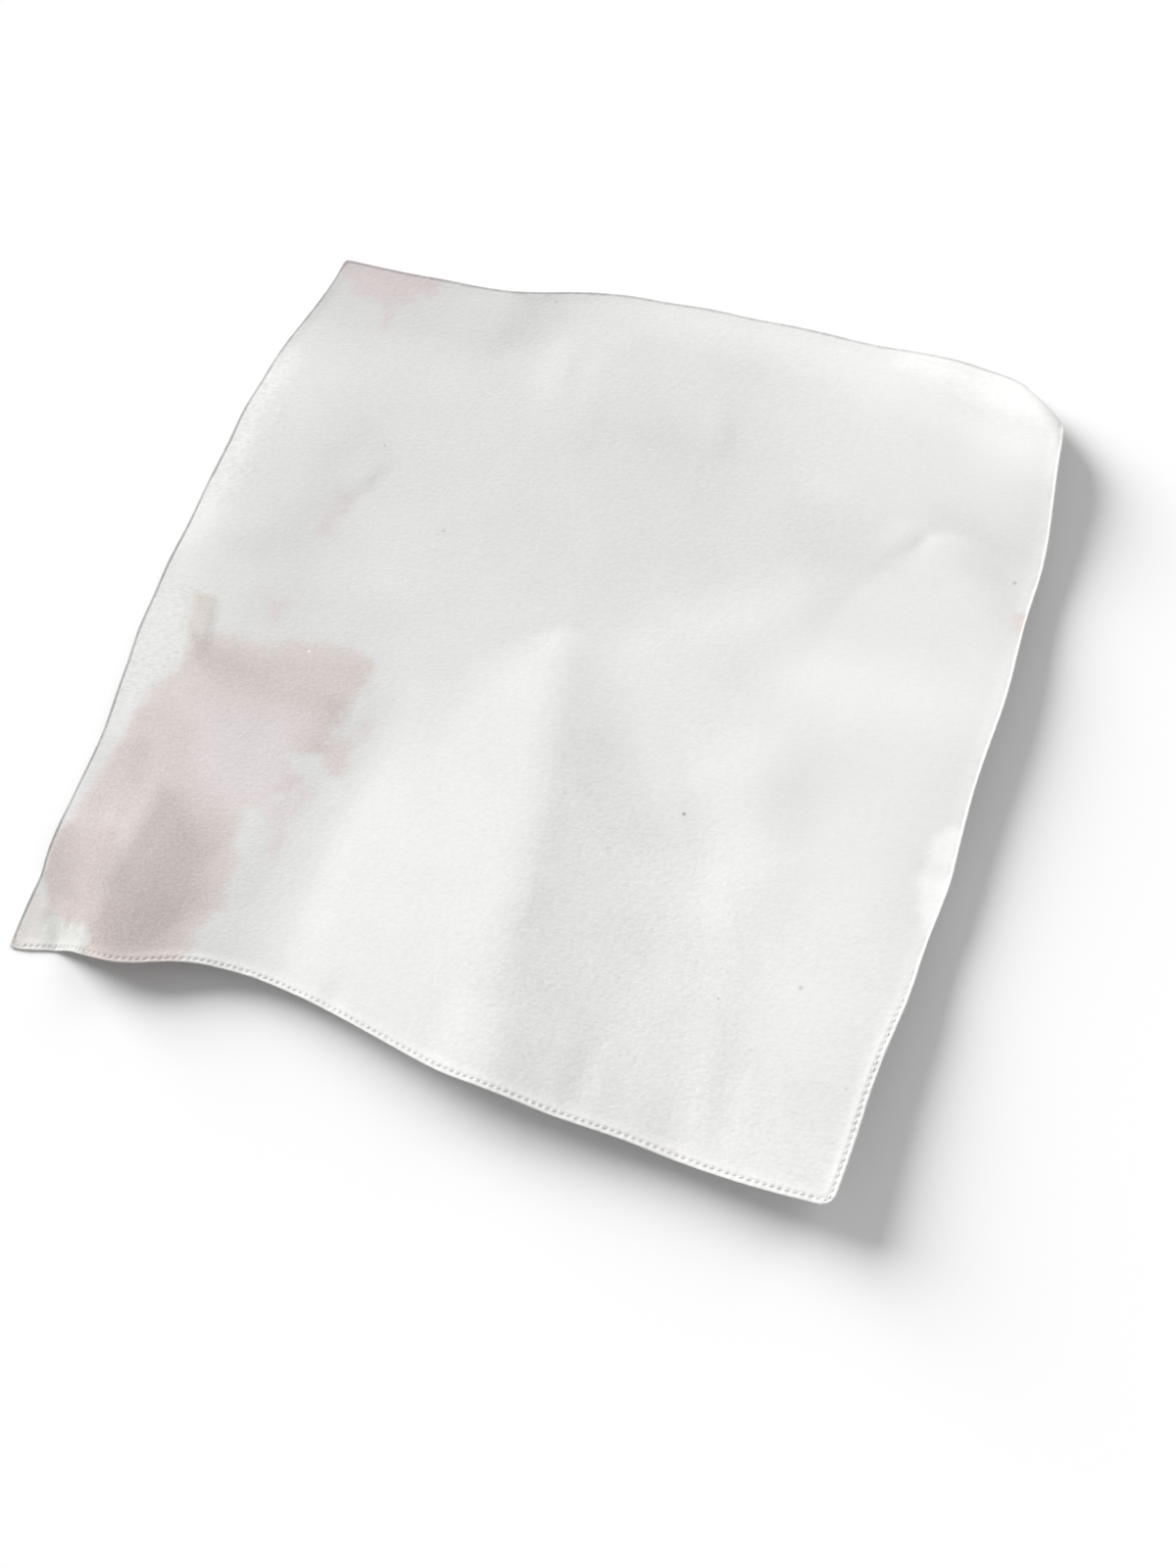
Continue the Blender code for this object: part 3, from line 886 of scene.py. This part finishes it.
def bump(tree, height, distance, strength, before=None):
    """Normal of a relief `distance` metres deep, on top of the relief `before` it."""
    node = add_node(tree, "ShaderNodeBump", "bump")
    node.inputs["Distance"].default_value = distance
    feed(tree, node.inputs["Strength"], strength)
    tree.links.new(height, node.inputs["Height"])
    if before:
        tree.links.new(before, node.inputs["Normal"])
    return node.outputs["Normal"]


def cotton_material():
    """Thin off-white cotton: plain weave, uneven yarns and the marks, with their painted light
    and shade.
    """
    material = bpy.data.materials.new("off_white_cotton")
    material.use_nodes = True
    tree = material.node_tree
    shader = tree.nodes["Principled BSDF"]
    shader.inputs["Roughness"].default_value = 0.88
    shader.inputs["Specular IOR Level"].default_value = 0.25
    shader.inputs["Sheen Weight"].default_value = 0.08
    shader.inputs["Sheen Roughness"].default_value = 0.5
    flat = add_node(tree, "ShaderNodeUVMap", "flat cloth", uv_map="flat").outputs["UV"]
    marks = add_node(tree, "ShaderNodeAttribute", "marks", attribute_name="marks")
    grain = add_node(tree, "ShaderNodeAttribute", "grain", attribute_name="grain")
    coarse = grain.outputs["Fac"]
    marked = add_node(tree, "ShaderNodeVectorMath", "cotton with marks", operation="MULTIPLY")
    marked.inputs[0].default_value = COTTON
    tree.links.new(marks.outputs["Color"], marked.inputs[1])
    toned = add_node(tree, "ShaderNodeVectorMath", "uneven cotton", operation="SCALE")
    tree.links.new(marked.outputs[0], toned.inputs[0])
    tree.links.new(cotton_tone(tree, flat, marks, coarse), toned.inputs["Scale"])
    tree.links.new(toned.outputs[0], shader.inputs["Base Color"])
    normal = bump(tree, weave_height(tree, flat), WEAVE_RELIEF, RELIEF_STRENGTH)
    slubs = stretched_noise(tree, flat, "slubs", *SLUB_SIZE, 3.0)
    strength = calculate(tree, "MULTIPLY", coarse, RELIEF_STRENGTH)
    normal = bump(tree, slubs, SLUB_RELIEF, strength, normal)
    tree.links.new(normal, shader.inputs["Normal"])
    return material


def thread_material():
    """White sewing thread, toned by its fibres."""
    material = bpy.data.materials.new("white_thread")
    material.use_nodes = True
    tree = material.node_tree
    shader = tree.nodes["Principled BSDF"]
    shader.inputs["Roughness"].default_value = 0.6
    shader.inputs["Sheen Weight"].default_value = 0.1
    coordinate = add_node(tree, "ShaderNodeTexCoord", "place")
    noise = add_node(tree, "ShaderNodeTexNoise", "fibres")
    noise.inputs["Scale"].default_value = THREAD_FIBRES
    tree.links.new(coordinate.outputs["Object"], noise.inputs["Vector"])
    mix = add_node(tree, "ShaderNodeMix", "thread colour", data_type="RGBA")
    mix.inputs["A"].default_value = THREAD_DARK
    mix.inputs["B"].default_value = THREAD_LIGHT
    tree.links.new(noise.outputs["Fac"], mix.inputs["Factor"])
    tree.links.new(mix.outputs["Result"], shader.inputs["Base Color"])
    return material


# ---------------------------------------------------------------- pieces
BOX_SAMPLES = 400          # points along each side that find the cloth's box


def place(mesh, material):
    """Object of that mesh, riding on the cloth's body."""
    piece = bpy.data.objects.new(mesh.name, mesh)
    bpy.context.scene.collection.objects.link(piece)
    mesh.materials.append(material)
    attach(piece, BODY)
    return piece


def cloth_shift():
    """Where the flat cloth's middle goes, so that the cloth's box has the solid's middle."""
    line = np.linspace(-HALF, HALF, BOX_SAMPLES)
    u, v = np.meshgrid(line, line)
    points = underside(u, v).reshape(-1, 3)
    low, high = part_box(NODE)
    middle = (low + high) / 2.0
    own = (points.min(axis=0) + points.max(axis=0)) / 2.0
    return np.array([middle.x - own[0], middle.y - own[1], 0.0])


shift = cloth_shift()
cloth = place(cloth_mesh(shift), cotton_material())
stitches = place(stitch_mesh(shift), thread_material())
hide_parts(NODE)


# ---------------------------------------------------------------- floor
FLOOR_RADIUS = 30.0
FLOOR_DROP = 0.0003        # under the cloth
FLOOR_ALBEDO = 0.95


def floor():
    """Round, flat and near white."""
    bpy.ops.mesh.primitive_circle_add(vertices=96, radius=FLOOR_RADIUS, fill_type="NGON",
                                      location=(0.0, 0.0, -FLOOR_DROP))
    disc = bpy.context.object
    disc.name = "studio_floor"
    material = bpy.data.materials.new("studio_floor")
    material.use_nodes = True
    shader = material.node_tree.nodes["Principled BSDF"]
    shader.inputs["Base Color"].default_value = (FLOOR_ALBEDO, FLOOR_ALBEDO, FLOOR_ALBEDO, 1.0)
    shader.inputs["Roughness"].default_value = 1.0
    shader.inputs["Specular IOR Level"].default_value = 0.0
    disc.data.materials.append(material)


# ---------------------------------------------------------------- light
# Direction towards each light, elevation and softness in degrees, and its share of the light on
# the floor; the rest comes evenly from the surround
LIGHTS = (
    # name     to_x   to_y elevation softness share
    ("key",   -0.90,  0.42,     24.0,    38.0, 0.57),
    ("back",   0.50,  0.85,     30.0,    30.0, 0.10),
)
FLOOR_BRIGHTNESS = 1.0


def suns():
    """The lights and the even surround, which together make the floor FLOOR_BRIGHTNESS."""
    on_floor = math.pi * FLOOR_BRIGHTNESS / FLOOR_ALBEDO
    for name, to_x, to_y, elevation, softness, share in LIGHTS:
        rise = math.radians(elevation)
        length = math.hypot(to_x, to_y)
        towards = Vector((to_x / length * math.cos(rise), to_y / length * math.cos(rise),
                          math.sin(rise)))
        data = bpy.data.lights.new(name, "SUN")
        data.energy = on_floor * share / math.sin(rise)
        data.angle = math.radians(softness)
        lamp = bpy.data.objects.new(name, data)
        lamp.rotation_euler = towards.to_track_quat("Z", "Y").to_euler()
        bpy.context.scene.collection.objects.link(lamp)
    surround = 1.0 - sum(share for *_, share in LIGHTS)
    world = bpy.data.worlds.new("surround")
    world.use_nodes = True
    background = world.node_tree.nodes["Background"]
    background.inputs["Color"].default_value = (1.0, 1.0, 1.0, 1.0)
    background.inputs["Strength"].default_value = surround * on_floor / math.pi
    bpy.context.scene.world = world


# ---------------------------------------------------------------- camera
CAMERA_TARGET = (0.0508, -0.0693, 0.0)   # from the flat cloth's middle
CAMERA_AZIMUTH = 46.38
CAMERA_ELEVATION = 61.66
CAMERA_ROLL = -28.81
CAMERA_DISTANCE = 1.1664
CAMERA_LENS = 45.14
CAMERA_SENSOR = 36.0       # along the image's long side


def camera(shift):
    """Camera that looks at its target from above one corner, rolled about its own axis."""
    turn, rise = math.radians(CAMERA_AZIMUTH), math.radians(CAMERA_ELEVATION)
    roll = math.radians(CAMERA_ROLL)
    back = Vector((math.sin(turn) * math.cos(rise), -math.cos(turn) * math.cos(rise),
                   math.sin(rise)))
    level = Vector((math.cos(turn), math.sin(turn), 0.0))
    upright = back.cross(level)
    right = level * math.cos(roll) + upright * math.sin(roll)
    up = back.cross(right)
    data = bpy.data.cameras.new("camera")
    data.sensor_width = CAMERA_SENSOR
    data.lens = CAMERA_LENS
    data.clip_start = 0.05
    data.clip_end = 100.0
    view = bpy.data.objects.new("camera", data)
    stand = Vector(CAMERA_TARGET) + Vector(shift) + back * CAMERA_DISTANCE
    axes = Matrix((right, up, back)).transposed().to_4x4()
    view.matrix_world = Matrix.Translation(stand) @ axes
    bpy.context.scene.collection.objects.link(view)
    bpy.context.scene.camera = view


floor()
suns()
camera(shift)
bpy.context.scene.view_settings.view_transform = "Standard"
